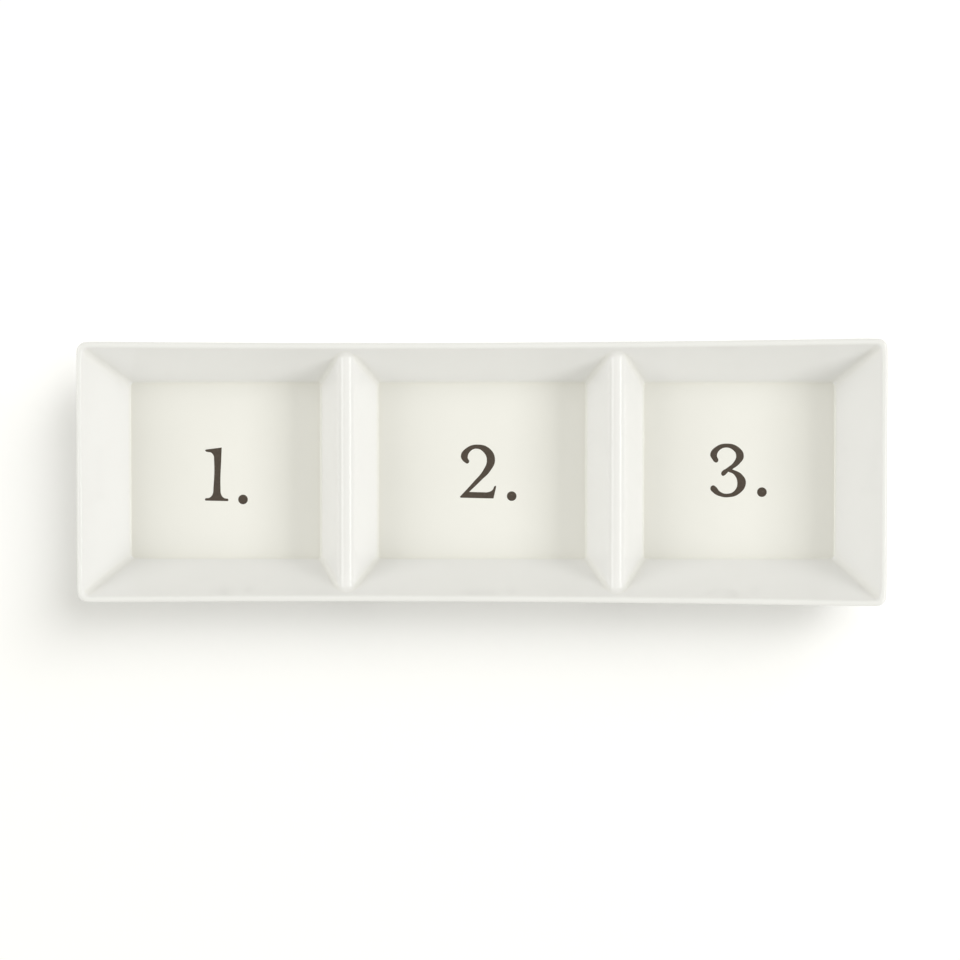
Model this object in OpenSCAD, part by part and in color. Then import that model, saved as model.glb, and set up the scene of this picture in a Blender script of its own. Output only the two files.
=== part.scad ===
// Divided serving bowl: one long stoneware dish with three square wells in a row.
// The wells are folded out of one wall, so the two dividers are hollow from below.
// A white glaze coats the fired body everywhere but on its three foot rings.
// The origin lies on the surface that the dish stands on, below its middle.
// X runs along the row of wells, Y runs to the back and Z runs up.

/* [Overall] */
// Length over the rim
dish_length = 380; // [350:1:420]
// Depth over the rim, halfway along
dish_depth = 121.5; // [110:0.5:140]
// Height from the foot to the top of the rim
dish_height = 38; // [34:0.5:46]

/* [Rim] */
// Thickness of the wall at the rim, which is rounded over
rim_thickness = 3.2; // [2.4:0.1:4]
// Radius of the rim's corners, seen from above
rim_corner_radius = 5; // [4.4:0.1:8]
// How far the long sides draw in halfway along
side_bow = 1.4; // [0:0.1:3]
// How much further the rim stands out at the right-hand end than halfway along
end_flare = 0.75; // [0:0.05:1.5]

/* [Wells] */
// How far an end wall leans out from the floor to the rim
end_wall_run = 17.9; // [14:0.1:22]
// How far the front and back walls lean out from the floor to the rim
side_wall_run = 15.4; // [12:0.1:19]
// How much longer the middle well's floor is than an end well's
middle_extra = 8.4; // [0:0.1:16]
// Radius of a well's upright corners where they meet the floor
well_corner_radius = 3.6; // [3:0.1:6]
// Radius between a floor and its walls
floor_fillet = 2.5; // [1.5:0.1:3]

/* [Dividers] */
// Width of a divider where it meets the floors
divider_width = 27.1; // [24:0.1:32]
// Depth of a divider's crest below the rim
crest_drop = 5; // [3:0.1:8]
// Radius of a divider's rounded crest
crest_radius = 4.5; // [3.5:0.1:5]
// Radius of the corners at a divider's two ends, along its crest
crest_corner_radius = 1.5; // [1:0.1:2.5]
// Radius of the hollow's roof below a divider
hollow_radius = 2.2; // [1.5:0.1:3]

/* [Body] */
// Thickness of the wells' walls near the floor
wall_thickness = 4.2; // [3.6:0.1:5]
// Thickness of the floors
floor_thickness = 4.4; // [3.6:0.1:6]
// Radius of the lower edge round each well
base_radius = 5; // [3:0.1:6]
// Radius of the outside corners down at the base
base_corner_radius = 8; // [7:0.1:10]

/* [Foot rings] */
// Height of a foot ring
foot_height = 1.6; // [1:0.1:3]
// Width of a foot ring
foot_width = 4; // [3:0.1:6]
// How far a foot ring stands in from the flat below its well
foot_inset = 1.5; // [1:0.1:4]
// Chamfer along a foot ring's two lower edges
foot_chamfer = 0.5; // [0.2:0.1:0.8]

/* [Glaze] */
// Thickness of the glaze
glaze_thickness = 0.3; // [0.2:0.05:0.5]

/* [Hidden] */

clay_colour = "#d9cfc0";
glaze_colour = "#f3f1ea";

// Steps round a corner seen from above, over a rounded edge and over each half of the rim
corner_steps = 4;
edge_steps = 3;
lip_steps = 3;
// Points along each long side of a well between its corners
side_points = 3;

// Main heights
floor_z = foot_height + floor_thickness;
lip_radius = rim_thickness / 2;
lip_z = dish_height - lip_radius;
crest_z = dish_height - crest_drop - crest_radius;

// Distances from the middle of the dish to the rim's axis and to the floors' outer edges
lip_length = dish_length / 2 - lip_radius;
lip_depth = dish_depth / 2 - lip_radius;
end_foot = dish_length / 2 - rim_thickness - end_wall_run;
side_foot = dish_depth / 2 - rim_thickness - side_wall_run;

// The line below each divider's crest follows from the lengths of the floors
end_floor = (2 * end_foot - 2 * divider_width - middle_extra) / 3;
crest_x = (end_floor + middle_extra + divider_width) / 2;

// Lean, from the upright, of a wall that starts at its foot and touches a round edge. Run and
// rise lead to the edge's axis, and the radius is negative where the wall passes on the near side.
function lean_to(run, rise, radius) = atan2(run, rise) + asin(radius / norm([run, rise]));

end_lean = lean_to(lip_length - end_foot, lip_z - floor_z, -lip_radius);
side_lean = lean_to(lip_depth - side_foot, lip_z - floor_z, -lip_radius);
divider_lean = lean_to(divider_width / 2, crest_z - floor_z, -crest_radius);

// The outside stands a wall's thickness away from the inside, down at the base
function outer_foot(foot, lean) = foot - floor_thickness * tan(lean) + wall_thickness / cos(lean);

end_outer_foot = outer_foot(end_foot, end_lean);
side_outer_foot = outer_foot(side_foot, side_lean);
end_outer_lean = lean_to(lip_length - end_outer_foot, lip_z - foot_height, lip_radius);
side_outer_lean = lean_to(lip_depth - side_outer_foot, lip_z - foot_height, lip_radius);

// The hollow below a divider keeps the wall's thickness away from the divider's flanks
hollow_z = crest_z - (wall_thickness + hollow_radius - crest_radius) / sin(divider_lean);
hollow_half = (crest_radius - wall_thickness) / cos(divider_lean)
    + (crest_z - foot_height) * tan(divider_lean);

// A wall: the height of the flat it rises from, the radius of the edge between them, and
// how far out it starts and how it leans at the ends, at the sides and beside a divider.
inside = [floor_z, floor_fillet, [end_foot, end_lean], [side_foot, side_lean],
    [-divider_width / 2, divider_lean]];
outside = [foot_height, base_radius, [end_outer_foot, end_outer_lean],
    [side_outer_foot, side_outer_lean], [-hollow_half, divider_lean]];

// How far out a wall is at height z, first as a straight line and then with its edge rounded.
// The skin moves its surface outward.
function straight_reach(z, wall, line, skin) =
    line[0] + (z - wall[0]) * tan(line[1]) + skin / cos(line[1]);
function reach(z, wall, line, skin) =
    let (drop = wall[0] + wall[1] - z)
    drop > (wall[1] + skin) * sin(line[1])
    ? line[0] + wall[1] * (tan(line[1]) - 1 / cos(line[1])) + sqrt(max(0, (wall[1] + skin) ^ 2 - drop ^ 2))
    : straight_reach(z, wall, line, skin);

// The long sides' bow and flare at a place along the dish, full at the rim and none at the floor
function side_swell(x, z) =
    (side_bow * (2 * x / dish_length) ^ 2 + end_flare * 2 * x / dish_length)
    * min(1, max(0, (z - floor_z) / (lip_z - floor_z)));

// A rounded rectangle round one well at height z, anticlockwise from its right-hand end
function well_ring(left, right, depth, left_radius, right_radius, z) =
    let (
        corners = [
            [right - right_radius, depth - right_radius, right_radius],
            [left + left_radius, depth - left_radius, left_radius],
            [left + left_radius, left_radius - depth, left_radius],
            [right - right_radius, right_radius - depth, right_radius],
        ],
        arcs = [for (c = [0 : 3]) [for (i = [0 : corner_steps])
            let (turn = 90 * (c + i / corner_steps))
            [corners[c][0] + corners[c][2] * cos(turn), corners[c][1] + corners[c][2] * sin(turn)]]],
        steps = [for (i = [1 : side_points]) i / (side_points + 1)],
        back = [for (s = steps) arcs[0][corner_steps] * (1 - s) + arcs[1][0] * s],
        front = [for (s = steps) arcs[2][corner_steps] * (1 - s) + arcs[3][0] * s]
    )
    [for (p = concat(arcs[0], back, arcs[1], arcs[2], front, arcs[3]))
        [p[0], p[1] + sign(p[1]) * side_swell(p[0], z), z]];

// The rings of the three wells at one height, from the left. Gap is half a divider's width.
function three_rings(length, depth, gap, corner, divider_corner, z) = [
    well_ring(-length, -crest_x - gap, depth, corner, divider_corner, z),
    well_ring(gap - crest_x, crest_x - gap, depth, divider_corner, divider_corner, z),
    well_ring(crest_x + gap, length, depth, divider_corner, corner, z),
];

// Levels of a wall as pairs of a height and half the divider's width there: first up its rounded
// foot, where the width follows from the wall, and then over the crest or the hollow's roof.
edge_shares = [for (i = [0 : edge_steps]) i / edge_steps];
function levels(wall, skin, round_z, round_radius) = concat(
    [for (s = edge_shares)
        let (z = wall[0] + wall[1] - (wall[1] + skin) * sin(90 - (90 - divider_lean) * s))
        [z, -reach(z, wall, wall[4], skin)]],
    [for (s = edge_shares)
        let (turn = divider_lean + (90 - divider_lean) * s)
        [round_z + round_radius * sin(turn), round_radius * cos(turn)]]);

// The three wells' rings at each level of a wall. Corners go from low to high on the way up,
// beside a divider to its crest's corners, and shrink where the foot's rounding draws them in.
function rings_up(wall, skin, levels, low_corner, high_corner) = [for (level = levels)
    let (
        z = level[0],
        rise_share = max(0, (z - wall[0]) / (lip_z - wall[0])),
        crest_share = max(0, (z - wall[0]) / (levels[len(levels) - 1][0] - wall[0])),
        length = reach(z, wall, wall[2], skin),
        drawn_in = straight_reach(z, wall, wall[2], skin) - length,
        corner = low_corner + (high_corner - low_corner) * rise_share - drawn_in
    )
    three_rings(length, reach(z, wall, wall[3], skin), level[1], corner,
        corner * (1 - crest_share) + crest_corner_radius * crest_share, z)];

function inside_rings(skin) = rings_up(inside, skin,
    levels(inside, skin, crest_z, crest_radius - skin),
    well_corner_radius + skin, rim_corner_radius - rim_thickness + skin);
function outside_rings(skin) = rings_up(outside, -skin,
    levels(outside, -skin, hollow_z, hollow_radius + skin),
    base_corner_radius - skin, rim_corner_radius - skin);

// Places in a well's ring where its corners start and end
c0_end = corner_steps;
c1_start = c0_end + side_points + 1;
c1_end = c1_start + corner_steps;
c2_start = c1_end + 1;
c2_end = c2_start + corner_steps;
c3_start = c2_end + side_points + 1;
c3_end = c3_start + corner_steps;
ring_size = c3_end + 1;

// One ring round the whole dish, joined from the three wells' rings and from four points on
// the long walls at the dividers' ends. It takes points, or their numbers.
function picked(ring, first, last) = [for (k = [first : last]) ring[k]];
function joined(wells, ends) = concat(
    picked(wells[2], 0, c1_start), [ends[0]],
    picked(wells[1], c0_end, c1_start), [ends[1]],
    picked(wells[0], c0_end, c3_start), [ends[2]],
    picked(wells[1], c2_end, c3_start), [ends[3]],
    picked(wells[2], c2_end, c3_end));
joined_size = len(joined(wells_at(0), numbers(0, 4)));

function divider_ends(depth, z) = [for (side = [1, -1]) for (x = [side * crest_x, -side * crest_x])
    [x, side * (depth + side_swell(x, z)), z]];

// Above a crest, or a hollow's roof, its corners run out on the long walls
run_out = crest_corner_radius * 1.5;
function run_out_points(wall, skin, z) = divider_ends(reach(z, wall, wall[3], skin), z);

// Rings over the rounded rim, from its inner side over the top and down to its outer side
lip_shares = [for (i = [0 : lip_steps]) i / lip_steps];
lip_turns = concat(
    [for (s = lip_shares) (180 - side_lean) * (1 - s) + 90 * s],
    [for (s = picked(lip_shares, 1, lip_steps)) 90 * (1 - s)],
    [-side_outer_lean]);
function rim_rings(skin) = [for (turn = lip_turns)
    let (
        out = (lip_radius - skin) * cos(turn),
        z = lip_z + (lip_radius - skin) * sin(turn),
        corner = rim_corner_radius - lip_radius + out
    )
    joined(three_rings(lip_length + out, lip_depth + out, 0, corner, crest_corner_radius, z),
        divider_ends(lip_depth + out, z))];

// A foot ring's outline below each well, drawn in from the flat of the base
base_flat = outside_rings(0)[0];
function base_outlines(inset, z) =
    let (corner = max(foot_chamfer, base_corner_radius - base_radius - inset))
    [for (ring = base_flat)
        let (xs = [for (p = ring) p[0]], ys = [for (p = ring) p[1]])
        well_ring(min(xs) + inset, max(xs) - inset, max(ys) - inset, corner, corner, z)];

// Faces. Every ring is a list of point numbers, and a band of triangles joins two of them.
// Going from a floor up over the rim and down to the base, bands face away from the clay.
function numbers(first, count) = [for (k = [0 : count - 1]) first + k];
function band(to, from) = [for (k = [0 : len(to) - 1])
    let (n = (k + 1) % len(to))
    each [[to[k], from[k], from[n]], [to[k], from[n], to[n]]]];
function bands(rings) = [for (r = [1 : len(rings) - 1]) each band(rings[r], rings[r - 1])];
function backward(list) = [for (k = [len(list) - 1 : -1 : 0]) list[k]];
function turned(faces) = [for (f = faces) backward(f)];
function shifted(faces, by) = [for (f = faces) [for (k = f) k + by]];

// Triangles from a divider end's point on the wall to the corners on its two sides
function fan(top, chain) = [for (k = [1 : len(chain) - 1]) [top, chain[k - 1], chain[k]]];
function end_fans(wells, ends) = concat(
    fan(ends[0], concat(picked(wells[2], c1_start, c1_end), picked(wells[1], 1, c0_end))),
    fan(ends[1], concat(picked(wells[1], c1_start, c1_end), picked(wells[0], 1, c0_end))),
    fan(ends[2], concat(picked(wells[0], c3_start, c3_end), picked(wells[1], c2_start + 1, c2_end))),
    fan(ends[3], concat(picked(wells[1], c3_start, c3_end), picked(wells[2], c2_start + 1, c2_end))));

// The skin of the dish at a depth below the glaze's surface: its floors and the inside of the
// wells, the rim, and the outside down to the foot rings, where it is left open.
level_count = 2 * (edge_steps + 1);
function flat_points(list) = [for (rings = list) for (ring = rings) each ring];
function skin_points(skin) = concat(
    flat_points(inside_rings(skin)),
    run_out_points(inside, skin, crest_z + crest_radius - skin + run_out),
    [for (ring = rim_rings(skin)) each ring],
    run_out_points(outside, -skin, hollow_z + hollow_radius + skin + run_out),
    flat_points(outside_rings(skin)),
    flat_points([base_outlines(foot_inset, foot_height + skin)]));

wells_size = 3 * ring_size;
inside_ends_at = level_count * wells_size;
rim_at = inside_ends_at + 4;
outside_ends_at = rim_at + len(lip_turns) * joined_size;
outside_at = outside_ends_at + 4;
foot_at = outside_at + level_count * wells_size;
skin_size = foot_at + wells_size;

function wells_at(first) = [for (i = [0 : 2]) numbers(first + i * ring_size, ring_size)];
function level_rings(first, i) = [for (r = [0 : level_count - 1])
    numbers(first + r * wells_size + i * ring_size, ring_size)];
inside_top = wells_at((level_count - 1) * wells_size);
outside_top = wells_at(outside_at + (level_count - 1) * wells_size);
skin_faces = concat(
    [for (i = [0 : 2]) backward(numbers(i * ring_size, ring_size))],
    [for (i = [0 : 2]) each bands(level_rings(0, i))],
    end_fans(inside_top, numbers(inside_ends_at, 4)),
    bands(concat(
        [joined(inside_top, numbers(inside_ends_at, 4))],
        [for (r = [0 : len(lip_turns) - 1]) numbers(rim_at + r * joined_size, joined_size)],
        [joined(outside_top, numbers(outside_ends_at, 4))])),
    turned(end_fans(outside_top, numbers(outside_ends_at, 4))),
    [for (i = [0 : 2]) each bands(concat(backward(level_rings(outside_at, i)), [wells_at(foot_at)[i]]))]);

// A foot ring's outlines below its top: down its outer side, over its land and up its inner side
foot_profile = [
    [foot_inset, foot_chamfer],
    [foot_inset + foot_chamfer, 0],
    [foot_inset + foot_width - foot_chamfer, 0],
    [foot_inset + foot_width, foot_chamfer],
    [foot_inset + foot_width, foot_height + glaze_thickness],
];

// The fired clay: its skin below the glaze, closed by the bare foot rings and the flats inside them
module stoneware_body() {
    points = concat(skin_points(glaze_thickness),
        flat_points([for (p = foot_profile) base_outlines(p[0], p[1])]));
    foot_stacks = [for (i = [0 : 2]) [for (r = [0 : len(foot_profile)])
        wells_at(foot_at + r * wells_size)[i]]];
    faces = concat(skin_faces,
        [for (stack = foot_stacks) each bands(stack)],
        [for (stack = foot_stacks) stack[len(foot_profile)]]);
    color(clay_colour) polyhedron(points, faces);
}

// The glaze: the layer between the dish's surface and the clay, and a pane inside each foot ring
module glaze_coat() {
    color(glaze_colour) {
        polyhedron(
            concat(skin_points(0), skin_points(glaze_thickness)),
            concat(skin_faces, turned(shifted(skin_faces, skin_size)),
                [for (i = [0 : 2]) each band(wells_at(skin_size + foot_at)[i], wells_at(foot_at)[i])]));
        for (ring = base_outlines(foot_inset + foot_width, foot_height))
            translate([0, 0, foot_height])
                linear_extrude(glaze_thickness) polygon([for (p = ring) [p[0], p[1]]]);
    }
}

stoneware_body();
glaze_coat();
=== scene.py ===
"""Divided serving bowl: a long glazed stoneware dish with three wells and plain printed numbers.

The wells are folded out of one wall, so the dividers are hollow from below. The finished
pieces are the white glaze, the fired clay with its bare foot rings, and one printed number
on the floor of each well. Lengths are in metres, X runs along the row of wells, Y runs to
the back and Z runs up.
"""

from math import asin, atan2, cos, hypot, pi, radians, sin, tan, tanh

import bmesh
import bpy
from bpy.props import FloatProperty, FloatVectorProperty, PointerProperty
from mathutils import Matrix, Vector


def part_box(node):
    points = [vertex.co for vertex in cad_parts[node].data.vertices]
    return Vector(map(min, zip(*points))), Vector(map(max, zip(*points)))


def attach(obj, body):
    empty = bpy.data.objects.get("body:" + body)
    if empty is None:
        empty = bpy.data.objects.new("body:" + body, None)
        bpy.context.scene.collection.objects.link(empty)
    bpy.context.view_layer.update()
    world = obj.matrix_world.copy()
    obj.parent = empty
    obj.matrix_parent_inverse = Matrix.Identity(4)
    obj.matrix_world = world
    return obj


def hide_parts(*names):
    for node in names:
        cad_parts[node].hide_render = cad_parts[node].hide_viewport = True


bl_info = {
    "name": "Divided Serving Bowl",
    "version": (1, 0, 0),
    "blender": (4, 5, 0),
    "location": "3D View > Sidebar > Serving Bowl",
    "description": "Builds a glazed stoneware dish with three wells, its printed numbers and a plain stage",
    "category": "Object",
}

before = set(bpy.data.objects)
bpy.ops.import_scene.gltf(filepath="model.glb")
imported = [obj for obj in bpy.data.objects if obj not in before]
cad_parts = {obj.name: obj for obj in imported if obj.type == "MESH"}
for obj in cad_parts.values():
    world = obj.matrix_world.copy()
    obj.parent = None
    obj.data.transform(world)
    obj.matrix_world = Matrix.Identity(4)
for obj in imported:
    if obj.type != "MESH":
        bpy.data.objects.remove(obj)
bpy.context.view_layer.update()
RIM_LOW, RIM_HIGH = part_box("glaze_coat")
MM = 0.001


def srgb(hex_colour):
    """A colour written as sRGB hex, turned to the linear values that shaders take."""
    channels = [int(hex_colour[i:i + 2], 16) / 255 for i in (1, 3, 5)]
    return [c / 12.92 if c <= 0.04045 else ((c + 0.055) / 1.055) ** 2.4 for c in channels]


# Settings that a user would change

def length_setting(name, description, millimetres):
    return FloatProperty(name=name, description=description, default=millimetres * MM, unit="LENGTH")


def colour_setting(name, description, hex_colour):
    return FloatVectorProperty(name=name, description=description, default=srgb(hex_colour),
                               size=3, subtype="COLOR", min=0, max=1)


class DishSizes(bpy.types.PropertyGroup):
    """Sizes of the dish. The overall ones come from the frame."""
    length: FloatProperty(name="Length", description="Length over the rim",
                          default=RIM_HIGH.x - RIM_LOW.x, unit="LENGTH")
    depth: length_setting("Depth", "Depth over the rim, halfway along", 121.5)
    height: FloatProperty(name="Height", description="Height from the foot to the top of the rim",
                          default=RIM_HIGH.z, unit="LENGTH")
    rim_thickness: length_setting("Rim thickness", "Thickness of the wall at the rim", 3.2)
    rim_corner: length_setting("Rim corner radius", "Radius of the rim's corners from above", 5)
    side_bow: length_setting("Side bow", "How far the long sides draw in halfway along", 1.4)
    end_flare: length_setting("End flare", "How much further the rim stands out at the right", 0.75)
    end_run: length_setting("End wall run", "How far an end wall leans out up to the rim", 17.9)
    side_run: length_setting("Side wall run", "How far the long walls lean out up to the rim", 15.4)
    middle_extra: length_setting("Middle extra", "How much longer the middle floor is", 8.4)
    well_corner: length_setting("Well corner radius", "Radius of a well's corners at the ends", 2.8)
    divider_corner: length_setting("Divider corner radius", "Radius of the corners beside a divider", 2.4)
    outer_corner: length_setting("Outer corner radius", "Radius of the outside corners at the ends", 6)
    hollow_corner: length_setting("Hollow corner radius", "Radius of the outside corners at a hollow", 3.6)
    floor_fillet: length_setting("Floor fillet", "Radius between a floor and its walls", 1.5)
    divider_width: length_setting("Divider width", "Width of a divider at the floors", 27.1)
    crest_drop: length_setting("Crest drop", "Depth of a divider's crest below the rim", 5)
    crest_radius: length_setting("Crest radius", "Radius of a divider's rounded crest", 4.5)
    hollow_radius: length_setting("Hollow radius", "Radius of the hollow's roof below a divider", 2.2)
    wall_thickness: length_setting("Wall thickness", "Thickness of the walls near the floor", 4.2)
    floor_thickness: length_setting("Floor thickness", "Thickness of the floors", 4.4)
    base_radius: length_setting("Base radius", "Radius of the lower edge round each well", 5)
    base_corner: length_setting("Base corner radius", "Radius of the outside corners at the base", 8)
    foot_height: length_setting("Foot height", "Height of a foot ring", 1.6)
    foot_width: length_setting("Foot width", "Width of a foot ring", 4)
    foot_inset: length_setting("Foot inset", "How far a foot ring stands in from the flat", 1.5)
    foot_chamfer: length_setting("Foot edge", "Rounding along a foot ring's lower edges", 0.5)
    glaze_thickness: length_setting("Glaze thickness", "Thickness of the glaze", 0.3)


class NumberSizes(bpy.types.PropertyGroup):
    """Sizes of the printed numbers."""
    height: length_setting("Height", "Height of a printed number", 25.7)
    tilt: FloatProperty(name="Tilt", description="How far the first two numbers are turned clockwise",
                        default=radians(1.3), subtype="ANGLE")
    stop_width: length_setting("Stop width", "Diameter of the full stop after a number", 4.6)
    ink_thickness: length_setting("Ink thickness", "How far the ink stands up", 0.03)


class FinishColours(bpy.types.PropertyGroup):
    """Colours of the finished surfaces and of the stage."""
    glaze: colour_setting("Glaze", "White glaze", "#F5F5F5")
    # Darker than the glaze: real pooling of glaze, and also painted shade in the corners and creases
    pooled_glaze_and_shade: colour_setting("Pooled glaze", "Glaze where it has run thick in the corners", "#F2F1EA")
    thin_glaze: colour_setting("Thin glaze", "Glaze where it has drawn thin over the edges", "#F5F5F4")
    clay: colour_setting("Clay", "Bare fired clay", "#D9CFC0")
    clay_speck: colour_setting("Clay specks", "Iron specks in the clay", "#8A7560")
    ink: colour_setting("Ink", "Printed ceramic ink", "#4C4239")
    floor: colour_setting("Floor", "Floor that the dish stands on", "#F4F4F4")
    sky: colour_setting("Sky", "Even light from all round, a little warmer than the lamps", "#FFFEF4")


class StudioSettings(bpy.types.PropertyGroup):
    """Camera and lamps."""
    camera_height: FloatProperty(name="Camera height", description="Height of the camera above the floor",
                                 default=1.32, unit="LENGTH")
    lens: FloatProperty(name="Lens", description="Focal length on a sensor 36 mm wide, in millimetres",
                        default=102.8, subtype="DISTANCE_CAMERA", unit="CAMERA")
    lamp_level: FloatProperty(name="Lamps", description="Factor on the power of all lamps",
                              default=1.0, min=0, subtype="FACTOR")
    sky_strength: FloatProperty(name="Sky", description="Strength of the even light from all round",
                                default=0.578, min=0)


# Helpers for modelling

AXIS_X = Vector((1, 0, 0))
AXIS_Y = Vector((0, 1, 0))
AXIS_Z = Vector((0, 0, 1))
# Places closer than this are the same place
SAME_PLACE = 1e-6


def start_object():
    """Leaves edit mode and deselects all, so that an operator acts on nothing else."""
    if bpy.context.object and bpy.context.object.mode != "OBJECT":
        bpy.ops.object.mode_set(mode="OBJECT")
    bpy.ops.object.select_all(action="DESELECT")


def make_only(obj):
    """Makes one object the only selected one, and the active one."""
    start_object()
    obj.select_set(True)
    bpy.context.view_layer.objects.active = obj


def join(obj, others):
    """Joins other objects to one."""
    make_only(obj)
    for other in others:
        other.select_set(True)
    bpy.ops.object.join()


def pick(kind, test):
    """Selects in edit mode the vertices, edges or faces that pass a test. Returns how many."""
    bpy.ops.mesh.select_mode(type=kind)
    bpy.ops.mesh.select_all(action="DESELECT")
    data = bpy.context.object.data
    mesh = bmesh.from_edit_mesh(data)
    items = {"VERT": mesh.verts, "EDGE": mesh.edges, "FACE": mesh.faces}[kind]
    chosen = [item for item in items if test(item)]
    for item in chosen:
        item.select_set(True)
    mesh.select_flush_mode()
    bmesh.update_edit_mesh(data)
    return len(chosen)


def shift(test, step):
    """Moves the vertices that pass a test."""
    pick("VERT", test)
    bpy.ops.transform.translate(value=step)


def cut(axis, places):
    """Bisects everything with planes square to an axis."""
    for place in places:
        bpy.ops.mesh.select_all(action="SELECT")
        bpy.ops.mesh.bisect(plane_co=axis * place, plane_no=axis)


def start_plane(left, right, half_depth, height):
    """A level rectangle to model on, in edit mode."""
    start_object()
    bpy.ops.mesh.primitive_plane_add(size=2, location=(0, 0, 0))
    bpy.ops.object.mode_set(mode="EDIT")
    bpy.ops.transform.resize(value=((right - left) / 2, half_depth, 1))
    bpy.ops.transform.translate(value=((left + right) / 2, 0, height))
    return bpy.context.object


def close_up():
    """Turns all faces outwards and leaves edit mode."""
    bpy.ops.mesh.select_all(action="SELECT")
    bpy.ops.mesh.normals_make_consistent(inside=False)
    bpy.ops.object.mode_set(mode="OBJECT")


def near(a, b, slack=SAME_PLACE):
    return abs(a - b) < slack


# The folded wall

# An upright corner slants, so a radius seen from above reaches a little less far along the walls
CORNER_SLANT = 0.9
# Steps over each half of a divider's round crest, and over the rim's inner half. The rim's outer
# half turns further and takes one more.
CREST_STEPS = 3
LIP_STEPS = 3
# The outside ends this far below the rim's rounding, and one band joins the two
JOINING_BAND = 2 * MM
# Cuts that part the flats, as shares of a floor's half length, of its half depth, and of a wall's
# height up to the shoulders of a divider
LENGTH_CUTS = (-0.66, -0.33, 0, 0.33, 0.66)
DEPTH_CUTS = (-0.66, -0.33, 0, 0.33, 0.66)
WALL_CUTS = (0.22, 0.5, 0.78)
# Steps round a rounded edge, before the surface is subdivided
EDGE_STEPS = 4
# Two flats that meet more sharply than this have a rounded edge between them
SHARP_TURN = radians(40)
# How exactly an edge of the rim lies on the mitre of its corner
MITRE_SLACK = 0.02 * MM


def lean_to(run, rise, radius):
    """Lean, from the upright, of a wall that starts at its foot and touches a round edge."""
    return atan2(run, rise) + asin(radius / hypot(run, rise))


class DishForm:
    """Places that follow from the sizes, the same for the glaze and for the clay below it."""

    def __init__(self, sizes):
        self.sizes = s = sizes
        self.floor_z = s.foot_height + s.floor_thickness
        self.lip_radius = s.rim_thickness / 2
        self.lip_z = s.height - self.lip_radius
        self.crest_z = s.height - s.crest_drop - s.crest_radius
        self.lip_length = s.length / 2 - self.lip_radius
        self.lip_depth = s.depth / 2 - self.lip_radius
        self.end_foot = s.length / 2 - s.rim_thickness - s.end_run
        self.side_foot = s.depth / 2 - s.rim_thickness - s.side_run
        end_floor = (2 * self.end_foot - 2 * s.divider_width - s.middle_extra) / 3
        self.crest_x = (end_floor + s.middle_extra + s.divider_width) / 2
        self.divider_lean = lean_to(s.divider_width / 2, self.crest_z - self.floor_z, -s.crest_radius)

    def inside(self, skin):
        """The wells' inside. The skin moves it into the clay."""
        s = self.sizes
        rise = self.lip_z - self.floor_z
        return Wall(
            self, skin, flat_z=self.floor_z, edge=s.floor_fillet,
            end=(self.end_foot, lean_to(self.lip_length - self.end_foot, rise, -self.lip_radius)),
            side=(self.side_foot, lean_to(self.lip_depth - self.side_foot, rise, -self.lip_radius)),
            gap=s.divider_width / 2, round_z=self.crest_z, round_radius=s.crest_radius - skin,
            corners=(s.well_corner + skin, s.divider_corner + skin))

    def outside(self, skin):
        """The outside with the hollows below the dividers. The skin moves it into the clay."""
        s = self.sizes
        inner = self.inside(0)
        rise = self.lip_z - s.foot_height

        def outer_foot(foot, lean):
            return foot - s.floor_thickness * tan(lean) + s.wall_thickness / cos(lean)

        end = outer_foot(*inner.end)
        side = outer_foot(*inner.side)
        lean = self.divider_lean
        hollow_z = self.crest_z - (s.wall_thickness + s.hollow_radius - s.crest_radius) / sin(lean)
        half = (s.crest_radius - s.wall_thickness) / cos(lean) + (self.crest_z - s.foot_height) * tan(lean)
        return Wall(
            self, -skin, flat_z=s.foot_height, edge=s.base_radius,
            end=(end, lean_to(self.lip_length - end, rise, self.lip_radius)),
            side=(side, lean_to(self.lip_depth - side, rise, self.lip_radius)),
            gap=half, round_z=hollow_z, round_radius=s.hollow_radius + skin,
            corners=(s.outer_corner - skin, s.hollow_corner - skin))

    def swell(self, x, z):
        """The long sides' bow and flare at a place along the dish, full at the rim."""
        s = self.sizes
        along = 2 * x / s.length
        share = min(1, max(0, (z - self.floor_z) / (self.lip_z - self.floor_z)))
        return (s.side_bow * along ** 2 + s.end_flare * along) * share


class Wall:
    """One side of the folded wall as straight flats, before its edges are rounded."""

    def __init__(self, form, skin, flat_z, edge, end, side, gap, round_z, round_radius, corners):
        self.form, self.skin = form, skin
        self.foot_z, self.edge, self.end, self.side, self.gap = flat_z, edge, end, side, gap
        self.round_z, self.round_radius, self.corners = round_z, round_radius, corners
        self.flat_z = flat_z - skin
        self.shoulder_z = round_z + round_radius * sin(form.divider_lean)

    def reach(self, line, z):
        foot, lean = line
        return foot + (z - self.foot_z) * tan(lean) + self.skin / cos(lean)

    def length(self, z):
        return self.reach(self.end, z)

    def depth(self, z):
        return self.reach(self.side, z)

    def half_gap(self, z):
        lean = self.form.divider_lean
        return self.gap - (z - self.foot_z) * tan(lean) - self.skin / cos(lean)

    def is_at_end(self, x):
        """Whether a corner at this place is at the dish's end, and not beside a divider."""
        return x > self.form.crest_x + 2 * self.gap

    def corner_cut(self, x):
        """How far the rounding of a well's upright corner reaches, for a place along the dish."""
        end_corner, divider_corner = self.corners
        return CORNER_SLANT * (end_corner if self.is_at_end(x) else divider_corner)

    def edge_cut(self, lean):
        """How far the rounding along a flat's edge reaches on each side."""
        radius = self.edge + self.skin
        return radius * tan((pi / 2 - lean) / 2)


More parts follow.
